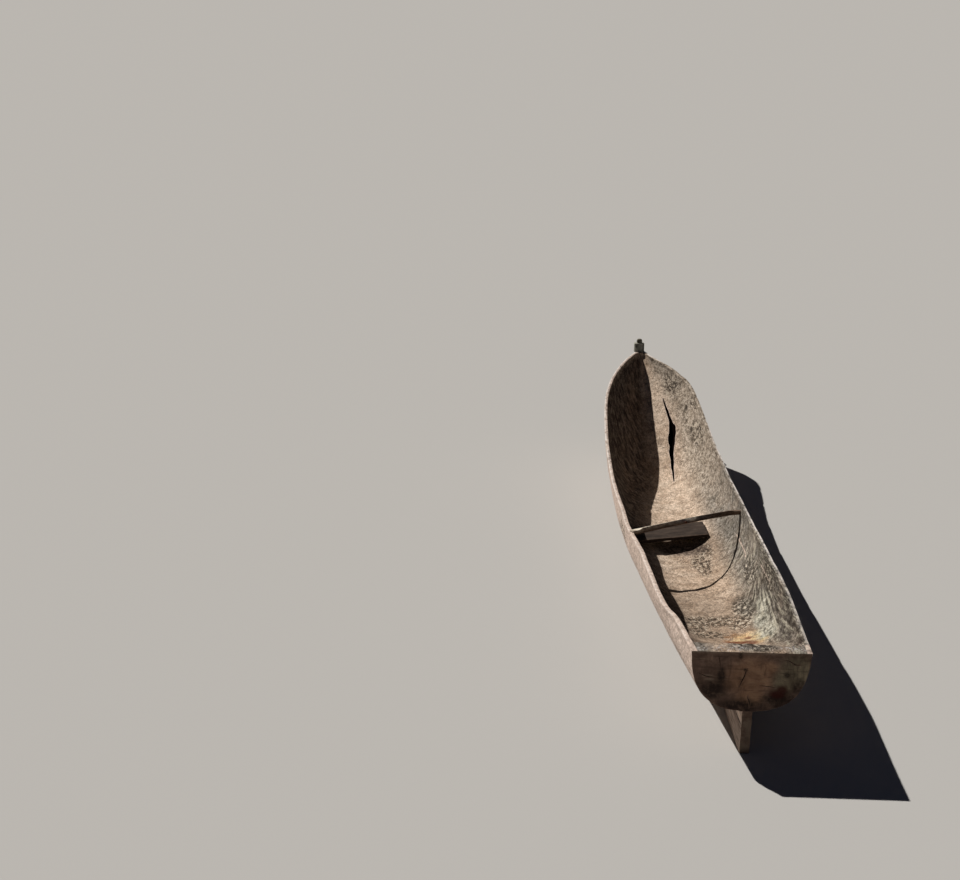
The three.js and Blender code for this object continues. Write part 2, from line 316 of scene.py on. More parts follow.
def outward(verts, faces):
    """The faces, turned over where they point in."""
    return [face[::-1] for face in faces] if volume(verts, faces) < 0 else faces


def raw_mesh(name, verts, faces):
    """Mesh in metres, from millimetres with y from the stern."""
    mesh = bpy.data.meshes.new(name)
    mesh.from_pydata(((verts + TO_FRAME) * MM).tolist(), [], faces)
    return mesh


def new_mesh(name, verts, faces):
    mesh = raw_mesh(name, verts, outward(verts, faces))
    mesh.update()
    mesh.shade_smooth()
    return mesh


def new_object(name, mesh):
    piece = bpy.data.objects.new(name, mesh)
    bpy.context.scene.collection.objects.link(piece)
    return piece


def points_of(mesh):
    """Vertices in millimetres with y from the stern, and outward normals."""
    co, normals = (np.zeros(len(mesh.vertices) * 3) for _ in range(2))
    mesh.vertices.foreach_get("co", co)
    mesh.vertex_normals.foreach_get("vector", normals)
    return co.reshape(-1, 3) / MM - TO_FRAME, normals.reshape(-1, 3)


def move_points(mesh, points):
    mesh.vertices.foreach_set("co", ((points + TO_FRAME) * MM).ravel())
    mesh.update()


def carve(mesh, depth):
    """Moves the surface in by a depth for each vertex."""
    points, normals = points_of(mesh)
    move_points(mesh, points - normals * depth[:, None])


def keep_values(mesh, **masks):
    """Stores numbers for each vertex, which the materials read by name."""
    for name, values in masks.items():
        layer = mesh.attributes.new(name, "FLOAT", "POINT")
        layer.data.foreach_set("value", np.ascontiguousarray(values, np.float32))


def add_materials(mesh, *materials):
    for material in materials:
        mesh.materials.append(material)


def cut_with(piece, cutters, material_for_cuts):
    """Takes the cutters' meshes out of a piece, the cut faces in their own material."""
    verts, faces, start = [], [], 0
    for cutter_verts, cutter_faces in cutters:
        verts.append(cutter_verts)
        faces += [[start + v for v in face] for face in outward(cutter_verts, cutter_faces)]
        start += len(cutter_verts)
    mesh = raw_mesh("cutter", np.vstack(verts), faces)
    mesh.materials.append(material_for_cuts)
    cutter = new_object("cutter", mesh)
    modifier = piece.modifiers.new("cut", "BOOLEAN")
    modifier.operation = "DIFFERENCE"
    modifier.solver = "MANIFOLD"
    modifier.material_mode = "TRANSFER"
    modifier.object = cutter
    evaluated = piece.evaluated_get(bpy.context.evaluated_depsgraph_get())
    cut_mesh = bpy.data.meshes.new_from_object(evaluated)
    piece.modifiers.clear()
    old = piece.data
    piece.data = cut_mesh
    bpy.data.meshes.remove(old)
    bpy.data.objects.remove(cutter)
    bpy.data.meshes.remove(mesh)


def finish_mesh(piece, slot, node, *materials):
    add_materials(piece.data, *materials)
    piece.data.set_sharp_from_angle(angle=math.radians(SHARP_ANGLE))
    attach(piece, "root")
    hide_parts(node)


# Materials
def srgb(red, green, blue):
    """Linear colour of a screen colour from 0 to 255."""
    def one(v):
        v /= 255
        return v / 12.92 if v <= 0.04045 else ((v + 0.055) / 1.055) ** 2.4
    return (one(red), one(green), one(blue), 1.0)


class Paint:
    """A node material, built up by small calls that return sockets, with the colour so far."""

    def __init__(self, name, roughness, specular):
        self.material = bpy.data.materials.new(name)
        self.material.use_nodes = True
        self.tree = self.material.node_tree
        self.shader = self.tree.nodes["Principled BSDF"]
        self.shader.inputs["Roughness"].default_value = roughness
        self.shader.inputs["Specular IOR Level"].default_value = specular
        self.place = self.add("TexCoord").outputs["Object"]
        self.colour = None

    def add(self, kind, *values, **settings):
        node = self.tree.nodes.new("ShaderNode" + kind)
        for key, value in settings.items():
            setattr(node, key, value)
        for slot, value in values:
            if isinstance(value, bpy.types.NodeSocket):
                self.tree.links.new(value, node.inputs[slot])
            else:
                node.inputs[slot].default_value = value
        return node

    def stretched(self, scale, turn=(0, 0, 0), source=None):
        """Place on turned axes, so that a texture is drawn out along the one with a low scale."""
        return self.add("Mapping", ("Vector", source or self.place), ("Rotation", turn),
                        ("Scale", [1 / v for v in scale]), vector_type="TEXTURE").outputs[0]

    def folded(self):
        """Place with one side of the boat laid on the other, so that strokes lean alike on both."""
        ahead = self.add("VectorMath", (0, self.place), (1, (0, 2, 0)), operation="ADD")
        return self.add("VectorMath", (0, ahead.outputs[0]), operation="ABSOLUTE").outputs[0]

    def noise(self, scale, detail, roughness=0.55, vector=None, distortion=0.0):
        node = self.add("TexNoise", ("Vector", vector or self.place), ("Scale", scale),
                        ("Detail", detail), ("Roughness", roughness), ("Distortion", distortion))
        return node.outputs[0]

    def grain(self, scale, detail, roughness, turn=(0, 0, 0), source=None):
        return self.noise(1.0, detail, roughness, self.stretched(scale, turn, source))

    def cells(self, scale):
        node = self.add("TexVoronoi", ("Vector", self.place), ("Scale", scale))
        return node.outputs["Distance"]

    def value(self, name):
        return self.add("Attribute", attribute_name=name).outputs["Fac"]

    def fit(self, source, low, high, to_low=0.0, to_high=1.0):
        node = self.add("MapRange", (0, source), (1, low), (2, high), (3, to_low), (4, to_high))
        return node.outputs[0]

    def broken(self, name, noise, fit):
        """A stored mask, broken up by noise."""
        return self.times(self.value(name), self.fit(self.noise(*noise), *fit))

    def maths(self, operation, a, b):
        return self.add("Math", (0, a), (1, b), operation=operation).outputs[0]

    def times(self, *factors):
        return functools.reduce(lambda a, b: self.maths("MULTIPLY", a, b), factors)

    def weigh(self, *parts):
        """Sum of sources, each with its weight."""
        weighed = [self.times(source, weight) for source, weight in parts]
        return functools.reduce(lambda a, b: self.maths("ADD", a, b), weighed)

    def blend(self, share, a, b):
        return self.add("Mix", (0, share), (2, a), (3, b), data_type="FLOAT").outputs[0]

    def mix(self, share, a, b, blend="MIX"):
        node = self.add("Mix", (0, share), (6, a), (7, b), data_type="RGBA", blend_type=blend)
        return node.outputs[2]

    def ramp(self, source, *stops):
        node = self.add("ValToRGB", (0, source))
        ramp = node.color_ramp
        while len(ramp.elements) < len(stops):
            ramp.elements.new(0.5)
        for element, (at, colour) in zip(ramp.elements, stops):
            element.position = at
            element.color = colour
        return node.outputs[0]

    def layer(self, share, tone, blend="MIX"):
        """Lays a tone over the colour so far."""
        self.colour = self.mix(share, self.colour, tone, blend)

    def darken(self, share, source, *stops):
        """Multiplies the colour so far by a ramp."""
        self.layer(share, self.ramp(source, *stops), "MULTIPLY")

    def finish(self, height, strength, distance, roughness=None):
        bump = self.add("Bump", ("Height", height), ("Strength", strength), ("Distance", distance))
        links = {"Base Color": self.colour, "Normal": bump.outputs[0], "Roughness": roughness}
        for slot, source in links.items():
            if source is not None:
                self.tree.links.new(source, self.shader.inputs[slot])
        return self.material


WHITE = (1, 1, 1, 1)
STROKE_TURN = (0.65, 0, -0.32)


def grey(level):
    return (level, level, level, 1)


def hull_wood():
    """Weathered dugout wood: cream floor, grey walls, mottling, strokes, stains, worn rails."""
    p = Paint("hull_wood", 0.92, 0.15)
    inside, wall, mould = p.value("inside"), p.value("wall"), p.value("mould")
    patch = p.noise(5.2, 4, 0.62, distortion=0.4)
    blotch = p.noise(19, 4, 0.66, distortion=0.5)
    drawn = p.stretched((1, 0.6, 1))
    mottle = p.noise(66, 4, 0.7, drawn, 0.5)
    grit = p.noise(165, 3, 0.65, drawn)

    floor = p.ramp(patch, (0.32, srgb(242, 222, 202)), (0.68, srgb(222, 196, 172)))
    side = p.ramp(patch, (0.32, srgb(176, 169, 160)), (0.68, srgb(150, 145, 138)))
    side = p.mix(p.value("bow"), side, srgb(216, 202, 186))
    outside = p.ramp(patch, (0.3, srgb(234, 213, 200)), (0.7, srgb(218, 199, 186)))
    greyness = p.times(wall, p.fit(patch, 0.32, 0.5, 0.7, 1))
    greyness = p.maths("MAXIMUM", greyness, p.value("grey"))
    p.colour = p.mix(inside, outside, p.mix(greyness, floor, side))
    p.layer(p.value("grime"), (0.62, 0.6, 0.58, 1), "MULTIPLY")
    pale = p.ramp(blotch, (0.4, srgb(196, 196, 184)), (0.6, srgb(214, 210, 194)))
    p.layer(p.value("pale"), pale)
    p.layer(p.broken("ochre", (34, 4, 0.7), (0.38, 0.54, 0.2, 0.8)), srgb(182, 134, 92))
    yellow = p.ramp(p.noise(17, 3), (0.42, srgb(240, 222, 172)), (0.6, srgb(228, 192, 146)))
    p.layer(p.broken("stain", (30, 4, 0.65), (0.36, 0.56, 0.25, 0.95)), yellow)

    rugged = p.times(inside, p.maths("MAXIMUM", greyness, mould))
    p.darken(p.blend(rugged, 0.5, 0.96), mottle, (0.37, (0.24, 0.22, 0.2, 1)),
             (0.47, (0.58, 0.56, 0.53, 1)), (0.58, WHITE))
    p.darken(p.blend(inside, 0.5, 0.85), grit, (0.36, grey(0.42)), (0.56, WHITE))
    p.darken(p.blend(inside, 0.4, 0.9), blotch, (0.36, (0.62, 0.59, 0.56, 1)), (0.58, WHITE))

    stroke = p.grain((70, 12, 70), 4, 0.64, STROKE_TURN, p.folded())
    fan_place = p.add("CombineXYZ", (0, p.times(p.value("sweep"), 46)),
                      (1, p.times(p.value("reach"), 9)))
    fan = p.noise(1.0, 4, 0.66, fan_place.outputs[0])
    lines = p.blend(p.value("fan"), stroke, fan)
    strokes = p.value("strokes")
    p.darken(strokes, lines, (0.37, grey(0.3)), (0.5, WHITE))
    p.layer(p.times(p.fit(lines, 0.52, 0.62), strokes, 0.6), srgb(196, 190, 172))

    cluster = p.maths("ADD", p.fit(p.noise(9, 3, 0.7), 0.48, 0.66, 0, 0.9), mould)
    speck = p.times(p.fit(p.cells(74), 0.16, 0.34, 1, 0), cluster)
    fleck = p.times(p.fit(p.cells(150), 0.22, 0.38, 1, 0), p.maths("ADD", cluster, 0.3))
    dots = p.maths("MINIMUM", p.maths("MAXIMUM", speck, fleck), 1)
    dots = p.times(dots, p.blend(inside, 0.3, 0.88))
    p.layer(dots, srgb(56, 48, 40))
    clumps = p.blend(p.value("bow"), p.noise(78, 4, 0.7, drawn, 0.8),
                     p.noise(38, 4, 0.72, drawn, 0.8))
    p.layer(p.times(p.fit(clumps, 0.5, 0.43), p.fit(mould, 0, 0.55), 0.9), srgb(58, 50, 42))
    lichen = p.times(p.fit(clumps, 0.54, 0.62), p.fit(mould, 0, 0.7, 0, 0.75))
    p.layer(lichen, srgb(208, 196, 178))
    # Painted shade on the left inner wall and under the plank, with damp wood at the stern: dark
    # brown, broken by the strokes
    p.layer(p.times(p.value("damp"), p.fit(stroke, 0.38, 0.62, 1, 0.4)), srgb(56, 45, 41))

    red = p.broken("redness", (60, 3), (0.36, 0.52, 0.5, 1))
    p.layer(p.times(red, 0.95), srgb(96, 48, 30))
    p.layer(p.broken("bleached", (110, 3, 0.7), (0.5, 0.62, 0, 0.8)), srgb(184, 180, 180))
    # On the hull this is wear alone: paler rail tops
    worn = p.broken("worn", (20, 4, 0.6), (0.34, 0.52))
    p.layer(p.times(worn, 0.9), srgb(232, 224, 218))
    height = p.weigh((p.times(lines, strokes), 0.8), (grit, 0.35), (mottle, 0.9), (dots, -0.5))
    return p.finish(height, 0.7, 0.004)


def end_grain():
    """Dark end grain: brown with a lighter heart, an olive edge, faint rings and scratches."""
    p = Paint("end_grain", 0.88, 0.2)
    from_heart = p.add("VectorMath", (0, p.place), (1, (0.012, 0, -0.235)), operation="ADD")
    turned = p.stretched((1, 0.05, 1), source=from_heart.outputs[0])
    length = p.add("VectorMath", (0, turned), operation="LENGTH").outputs["Value"]
    bent = p.maths("ADD", length, p.times(p.noise(9, 3, 0.6), 0.09))
    ring = p.add("Math", (0, p.times(bent, 520)), operation="SINE").outputs[0]
    blotch = p.noise(15, 5, 0.66, distortion=0.6)
    scratch = p.grain((15, 15, 105), 4, 0.7)
    upright = p.grain((95, 30, 16), 4, 0.65)

    def wood(*tones):
        return p.ramp(blotch, *zip((0.34, 0.52, 0.68), (srgb(*tone) for tone in tones)))

    p.colour = wood((84, 65, 54), (112, 89, 76), (138, 113, 97))
    p.layer(p.value("heart"), wood((108, 79, 60), (146, 112, 88), (176, 138, 109)))
    p.layer(p.value("olive"), wood((92, 82, 66), (128, 115, 94), (166, 152, 126)))
    p.layer(p.fit(ring, -1, 1, 0, 0.12), srgb(52, 40, 32))
    p.layer(p.fit(scratch, 0.55, 0.68, 0, 0.5), srgb(58, 45, 37))
    p.layer(p.fit(scratch, 0.42, 0.3, 0, 0.3), srgb(158, 138, 116))
    p.layer(p.fit(upright, 0.56, 0.7, 0, 0.4), srgb(60, 46, 38))
    # Dark knots and patches, and painted shade along the transom's lower edge
    p.layer(p.broken("gloom", (46, 4, 0.7), (0.36, 0.56, 0.35, 0.9)), srgb(34, 23, 18))
    p.layer(p.times(p.value("redness"), 0.85), srgb(62, 20, 14))
    p.layer(p.times(p.value("bleached"), 0.7), srgb(140, 122, 106))
    p.layer(p.broken("worn", (30, 3), (0.4, 0.6, 0.1, 0.6)), srgb(150, 134, 116))
    height = p.weigh((scratch, 0.6), (upright, 0.4), (p.noise(240, 3, 0.6), 0.3))
    return p.finish(height, 0.55, 0.003)


def raw_split():
    """Almost black, fibrous wood inside cracks."""
    p = Paint("crack_wood", 0.98, 0.0)
    fibre = p.grain((220, 14, 220), 4, 0.6)
    p.colour = p.ramp(fibre, (0.35, srgb(5, 4, 3)), (0.65, srgb(16, 11, 9)))
    return p.finish(fibre, 0.8, 0.003)


def plank_wood(name, light, dark, stretch, strength=0.7, turn=(0, 0, 0), worn=None, grain=0.8):
    """Sawn or split wood whose grain runs along the turned axis that stretch squeezes."""
    p = Paint(name, 0.88, 0.2)
    grains = ((34, 4, 0.6), (190, 4, 0.7), (90, 3, 0.5))
    coarse, fine, gaps = (p.grain([v * scale for v in stretch], detail, roughness, turn)
                          for scale, detail, roughness in grains)
    cloud = p.noise(11, 3, 0.6)
    p.colour = p.ramp(coarse, (0.34, dark), (0.62, light))
    p.layer(p.fit(cloud, 0.4, 0.68, 0, 0.65), dark)
    p.layer(p.value("shaded"), dark)
    p.darken(grain, fine, (0.36, grey(0.16)), (0.56, WHITE))
    crack = p.fit(gaps, 0.66, 0.72)
    p.layer(crack, srgb(22, 16, 12))
    # Paler worn edges; on the batten also a painted highlight along the top edge
    p.layer(p.broken("worn", (45, 3), (0.4, 0.6, 0.3, 1)), worn or light)
    height = p.weigh((coarse, 0.6), (fine, 0.6), (crack, -0.5))
    return p.finish(height, strength, 0.003, p.fit(cloud, 0.3, 0.7, 0.94, 0.8))


def rusty_iron():
    p = Paint("rusty_iron", 0.7, 0.4)
    p.shader.inputs["Metallic"].default_value = 0.35
    flake = p.noise(700, 4, 0.7)
    p.colour = p.ramp(flake, (0.35, srgb(40, 26, 20)), (0.5, srgb(92, 48, 28)),
                      (0.68, srgb(134, 72, 36)))
    return p.finish(flake, 0.9, 0.0006, p.fit(flake, 0.3, 0.7, 0.55, 0.95))


FLOOR_COLOUR = srgb(181, 180, 178)


def pale_floor():
    p = Paint("pale_floor", 1.0, 0.0)
    p.shader.inputs["Base Color"].default_value = FLOOR_COLOUR
    return p.material


HULL_WOOD, END_GRAIN, CRACK_WOOD = hull_wood(), end_grain(), raw_split()

# Hull: start, end and step of each run of sections, the closest where the camera is near, and
# single sections where the floor bends sharply
SECTION_RUNS = [(5, 900, 6.0), (900, 2000, 9.0), (2000, 3616, 11.0)]
SINGLE_SECTIONS = [LEDGE_END - 1, LEDGE_END + 2, 3553, 3556, 3558, 3560, 3562]

# Sections of the two ends, drawn in so that their edges are worn: distance, size
STERN_SECTIONS = [(0, 0.992), (1.4, 0.998)]
BOW_SECTIONS = [(3622, 0.985), (3627, 0.94), (3629.5, 0.86), (3630, 0.78)]

# Points of each stretch of a section, which starts at the left rail: number, and 1 where they are
# crowded at its start or -1 at its end
OUTER_STEPS, HOLLOW_STEPS, RAIL_STEPS = 46, 46, 5
RING_STEPS = [(OUTER_STEPS, 1), (OUTER_STEPS, -1), (RAIL_STEPS, 0),
              (HOLLOW_STEPS, 1), (HOLLOW_STEPS, -1), (RAIL_STEPS, 0)]
STERN_CAPS, BOW_CAPS = 40, 6
STERN_MIDDLE, STERN_CAP_MIDDLE = 260, 262

# How far edges are worn round, and how much that varies
EDGE_RADIUS, EDGE_VARIES = 2.2, 1.2


def hull_ring(d):
    """Ring of one section, and for each of its points the length from the middle line."""
    right, inside = outer_half(d), hollow_half(d)
    mirror = [-1, 1]
    corners = np.vstack([right * mirror, right[-2::-1], inside, (inside * mirror)[-2::-1]])
    at, length = rounded_ring(corners, EDGE_RADIUS + EDGE_VARIES * waver(140, 5, d))
    n = len(right)
    marks = length[[0, n - 1, 2 * n - 2, 2 * n - 1, 3 * n - 2, 4 * n - 3, 4 * n - 2]]
    where = []
    for start, end, (count, crowding) in zip(marks, marks[1:], RING_STEPS):
        t = np.linspace(0, 1, count, endpoint=False)
        where.append(start + (end - start) * ((1 - crowding / 2) * t + crowding / 2 * t * t))
    where = np.concatenate(where)
    return at(where), np.where(where < marks[2], where - marks[1], marks[4] - where)


def build_hull():
    """Mesh of the hull, with each vertex's length around it and where it lies."""
    runs = np.unique(np.concatenate([np.arange(*run) for run in SECTION_RUNS] + [SINGLE_SECTIONS]))
    rings, arounds = [], []
    for d, size in STERN_SECTIONS + [(d, 1) for d in runs] + BOW_SECTIONS:
        ring, around = hull_ring(d)
        middle = np.array([0, STERN_MIDDLE if d < LEDGE_END else ring[:, 1].mean()])
        ring = middle + (ring - middle) * size
        rings.append(section_at(d, *ring.T))
        arounds.append(around)
    verts, faces = closed_body(rings, STERN_CAPS, BOW_CAPS, (0, 0, STERN_CAP_MIDDLE))
    count = len(rings[0])
    first = 1 + (STERN_CAPS - 1) * count
    last = first + len(rings) * count
    j = np.arange(count) - 2 * OUTER_STEPS - RAIL_STEPS
    around, inner = np.zeros((2, len(verts)))
    around[first:last] = np.concatenate(arounds)
    inner[first:last] = np.tile((j >= 0) & (j < 2 * HOLLOW_STEPS), len(rings))
    index = np.arange(len(verts))
    return (new_mesh("hull", verts, faces), around, inner, index < first, index >= last,
            index < first + count)


def near(points, middle, size):
    """1 at a place and 0 from the given size away, with a soft edge."""
    away = np.linalg.norm((points - middle) / np.asarray(size, float), axis=-1)
    return 1 - fade(away, 0.35, 1.0)


# Place from which the strokes on the right stern wall spread: distance, and length around the
# hollow from the middle line
FAN = {"distance": 1150, "around": 330}

# Marks that time has left on the hull: x, distance and height of the place, and size along each
MARKS = {
    "stain": [(92, 470, 166, 64, 115, 50), (60, 420, 176, 50, 70, 40), (112, 400, 205, 44, 60, 40)],
    "redness": [(36, 398, 178, 52, 66, 46), (76, 398, 190, 50, 60, 46), (95, 477, 166, 12, 30, 16)],
    "ochre": [(58, 500, 158, 26, 120, 40), (30, 440, 168, 40, 50, 30), (28, 520, 150, 16, 60, 24)],
    "mould": [
        (166, 96, 336, 18, 54, 26), (202, 3031, 384, 26, 46, 34), (235, 2952, 440, 24, 110, 50),
        (226, 2700, 320, 50, 240, 90), (136, 780, 130, 52, 180, 60), (105, 650, 135, 60, 90, 40),
        (10, 715, 115, 140, 80, 44), (-60, 640, 130, 70, 70, 40), (80, 1410, 64, 58, 130, 40),
        (112, 1560, 70, 50, 190, 44), (84, 1370, 68, 44, 170, 50), (214, 1060, 180, 40, 160, 80),
        (226, 760, 270, 30, 160, 60), (150, 3300, 450, 60, 200, 120),
        (-290, 1370, 215, 40, 170, 60), (-40, 545, 145, 90, 80, 40), (16, 40, 345, 90, 40, 16),
    ],
    "grey": [(150, 800, 150, 60, 200, 80), (190, 340, 280, 70, 300, 130),
             (20, 44, 345, 120, 60, 20)],
    "pale": [(190, 700, 190, 36, 110, 60), (162, 590, 182, 42, 140, 60),
             (152, 450, 200, 56, 140, 70)],
    "bleached": [(-60, 26, 345, 80, 34, 14), (-150, 20, 345, 30, 20, 12),
                 (130, 30, 345, 60, 24, 12)],
}

# Marks on the transom: x and height of the place, and size along each
TRANSOM_MARKS = {
    "heart": [(0, 262, 104, 92), (52, 292, 44, 34), (4, 200, 60, 46)],
    "olive": [(138, 288, 72, 72), (104, 250, 50, 60)],
    # Dark knots and patches, and painted shade along the lower edge, darkest towards the right
    "gloom": [
        (-112, 215, 52, 50), (-86, 264, 17, 44), (-14, 285, 9, 9), (-32, 332, 9, 16),
        (109, 270, 14, 16), (-18, 160, 120, 38), (96, 186, 90, 46), (150, 232, 34, 40),
    ],
    "redness": [(98, 222, 24, 19), (86, 206, 34, 20)],
    "bleached": [(-128, 262, 24, 6), (-122, 251, 22, 5)],
}

# Ranges over which colours begin or end: shares of the half breadth, depths below the rail,
# distances
RANGES = {
    "wall": (0.46, 0.82), "rail": (3, 8), "bow": (1900, 2500), "shade_narrows": (1900, 2700),
    "shade_below": (10, 40), "ledge": (52, 90), "grime_thins": (850, 1150),
    "grime_ends": (1600, 2100), "right_strokes_end": (1100, 1700),
    "left_strokes_start": (1700, 2200), "fan_ends": (1000, 1200), "left_rim": (1200, 2400),
    "right_rim": (250, 700), "above_keel": (10, 110),
}

# Dark places: painted shade under the plank, and darker damp wood on the right stern wall, the
# ledge's right corner and the ledge: share, then place and size as for the marks
SHADE_AND_DAMP_PLACES = [
    (1, 20, 1600, 60, 190, 130, 70), (0.3, 190, 300, 285, 62, 280, 120),
    (0.75, 170, 116, 337, 17, 44, 22), (0.16, 20, 40, 345, 190, 70, 30),
]
GRIMY_PLACE = (0.65, 120, 1480, 90, 120, 360, 90)

# Tool cuts in the hollow and on the outside: depth, least share of it, size, seed; and how far the
# rows of cuts wander
HOLLOW_CUTS = (2.3, 0.5, (40, 62), 41)
OUTER_CUTS = (1.2, 0.4, (52, 150), 45)
CUTS_WANDER = 14

# Reaches where the hull stays as it was hewn: below the rail, above the foot of the keel, to both
# sides of the skeg and along it, and where the stem begins
SOUND = {"rail": 26, "foot": 16, "skeg_half": 24, "skeg_end": 870, "stem": (3490, 3522)}

# Worn edge of the stern ledge: distance, reach, depth
LEDGE_EDGE = (72, 34, 2.4)

# How far the left rail is worn down: distance, depth
LEFT_RAIL_WEAR = np.array([
    (120, 0), (220, 8), (360, 22), (480, 26), (560, 24), (640, 20), (780, 14), (950, 7),
    (1250, 6), (1450, 0),
], float)
WORN_WALL = 130

# How far the left side leans in at the rail, or out where it is negative: distance, lean
LEFT_LEAN = np.array([
    (100, 0), (250, 4), (300, 2), (350, -5), (400, -8), (500, -7), (600, -4), (700, -1), (800, 2),
    (900, 5), (1050, 4), (1250, 3), (1500, 8), (1700, 5), (1900, 0),
], float)

# How far the right side bulges beyond the left one near the bow: distance, breadth
BOW_BULGE = np.array([
    (2400, 0), (2560, 4), (2740, 8), (2860, 12), (2980, 20), (3060, 26), (3160, 30), (3220, 27),
    (3280, 22), (3340, 15), (3400, 3), (3460, -6), (3510, -9), (3560, 0),
], float)

# Small worn places on the rails: side, distance, length, depth
RAIL_NOTCHES = [
    (-1, 2450, 50, 3), (-1, 2345, 34, 5), (-1, 2050, 90, 2), (-1, 1840, 30, 3),
    (-1, 1130, 40, 2), (1, 2655, 30, 5), (1, 2952, 26, 5),
    (1, 2300, 70, 2), (1, 1900, 44, 3), (1, 1250, 80, 2), (1, 800, 60, 2), (1, 3240, 60, 2),
]


def carve_hull(mesh, around, inner, transom, nose):
    """Moves the surface in by tool cuts and waves, and bends and wears it as the real one is."""
    points, normals = points_of(mesh)
    d = points[:, 1]
    below = curve(OUTER_LINES, RAIL, d) - points[:, 2]
    sides = ~(transom | nose)
    left, right = (points[:, 0] < 0) * sides, (points[:, 0] > 0) * sides
    uv = np.stack([around, d], 1) + CUTS_WANDER * np.stack(
        [noise(points, 90, seed) for seed in (31, 32)], 1)

    def cuts(depth, least, size, seed):
        away, number = tool_cuts(uv, size, seed)
        return depth * (1 - away**2) * (least + number)

    off = np.where(inner > 0.5, cuts(*HOLLOW_CUTS), cuts(*OUTER_CUTS))
    off += unevenness(points, "hull") * np.where(inner > 0.5, 1.3, 0.8)
    off += unevenness(points, "hull_skin")
    off *= fade(below, 0, SOUND["rail"]) * 0.85 + 0.15
    keel_touch = 1 - fade(points[:, 2], 0, SOUND["foot"])
    on_skeg = (1 - inner) * (np.abs(points[:, 0]) < SOUND["skeg_half"]) * (d < SOUND["skeg_end"])
    on_stem = fade(d, *SOUND["stem"])
    off *= (1 - np.maximum(keel_touch, on_skeg)) * (1 - 0.9 * on_stem)
    off = np.where(transom, unevenness(points, "transom"), off)
    off = np.where(nose, unevenness(points, "nose"), off)
    place, reach, depth = LEDGE_EDGE
    ledge_edge = near(points * [0, 1, 0], [0, place, 0], reach)
    off += sides * inner * depth * (1 + noise(points, (26, 60, 60), 63)) * ledge_edge
    moved = points - normals * off[:, None]

    dip = unevenness(points * [0.02, 1, 0], "rail") + 0.5 * (1 + noise(points, (12, 22, 12), 72))
    for side, place, length, depth in RAIL_NOTCHES:
        dip += depth * (np.sign(points[:, 0]) == side) * np.exp(-((d - place) / length * 1.6) ** 4)
    dip *= (1 - on_stem) * fade(d, 0, 120) * sides
    high = 1 - fade(below, 0, WORN_WALL)
    moved[:, 2] -= dip * (1 - fade(below, 0, 46)) + curve(LEFT_RAIL_WEAR, 1, d) * left * high
    share_out = np.clip(points[:, 0] / curve(OUTER_LINES, BREADTH, d), 0, 1)
    moved[:, 0] += curve(LEFT_LEAN, 1, d) * left * high + curve(BOW_BULGE, 1, d) * right * share_out
    move_points(mesh, moved)


def mark_hull(mesh, points, around, inner, transom, nose):
    """Stores where each kind of colour and mark goes."""
    x, d, z = points.T
    below = curve(OUTER_LINES, RAIL, d) - z
    breadth = curve(OUTER_LINES, BREADTH, d)
    share_out = x / breadth
    sides = ~(transom | nose)

    def grown(name, values=d):
        """0 before a range and 1 past it."""
        return fade(values, *RANGES[name])

    def gone(name, values=d):
        return 1 - grown(name, values)

    wall = np.maximum(inner, sides * (below < 8)) * grown("wall", np.abs(share_out))
    on_rail = sides * gone("rail", below) * (x > 0) * (d > LEDGE_END)
    # Painted shade on the left inner wall and floor, where the left rail's shadow falls; it reaches
    # further across towards the bow
    reach = 0.25 - 0.4 * grown("shade_narrows")
    shade = fade(-share_out, reach, reach + 0.35) * grown("shade_below", below)
    away = np.stack([FAN["distance"] - d, around - FAN["around"]], 1)

    def place(share, *mark):
        return share * near(points, mark[:3], mark[3:])

    grime = (0.45 + 0.55 * grown("ledge")) * (1 - 0.85 * grown("grime_thins"))
    grime = np.maximum(grime * gone("grime_ends"), place(*GRIMY_PLACE))
    rim = (1 - fade(below, 0, 7)) * sides * fade(d, 50, 100)
    edge = breadth + curve(BOW_BULGE, 1, d) * (x > 0)
    rim *= fade(np.abs(x), edge - 11, edge - 5)
    rim *= 1 - 0.6 * (x < 0) * gone("left_rim")
    rim *= 1 - 0.5 * (x > 0) * gone("right_rim")
    keep_values(
        mesh,
        inside=np.maximum(inner, on_rail),
        bow=grown("bow"),
        grime=inner * grime,
        wall=wall,
        # Painted shade from the left rail and under the plank, and damp wood at the stern
        damp=inner * np.max([shade] + [place(*row) for row in SHADE_AND_DAMP_PLACES], axis=0),
        strokes=wall * np.where(share_out > 0, 1 - 0.85 * grown("right_strokes_end"),
                                0.75 * grown("left_strokes_start")),
        sweep=np.arctan2(away[:, 1], np.maximum(away[:, 0], 60)),
        reach=np.linalg.norm(away, axis=1) * MM,
        fan=inner * (share_out > 0) * gone("fan_ends"),
        worn=np.maximum(rim, transom * fade(np.abs(z - STERN_TOP), 12, 0)),
    )
    kinds = {kind: np.zeros(len(points)) for kind in sorted({*MARKS, *TRANSOM_MARKS})}
    above_keel = z - curve(OUTER_LINES, KEEL, d)
    kinds["mould"] += 0.7 * (1 - inner) * ~transom * gone("above_keel", above_keel)
    tables = (MARKS, points, ~transom), (TRANSOM_MARKS, points[:, [0, 2]], transom)
    for table, seen, where in tables:
        for kind, rows in table.items():
            for row in rows:
                half = len(row) // 2
                mark = near(seen, row[:half], row[half:]) * where
                kinds[kind] = np.maximum(kinds[kind], mark)
    keep_values(mesh, **kinds)


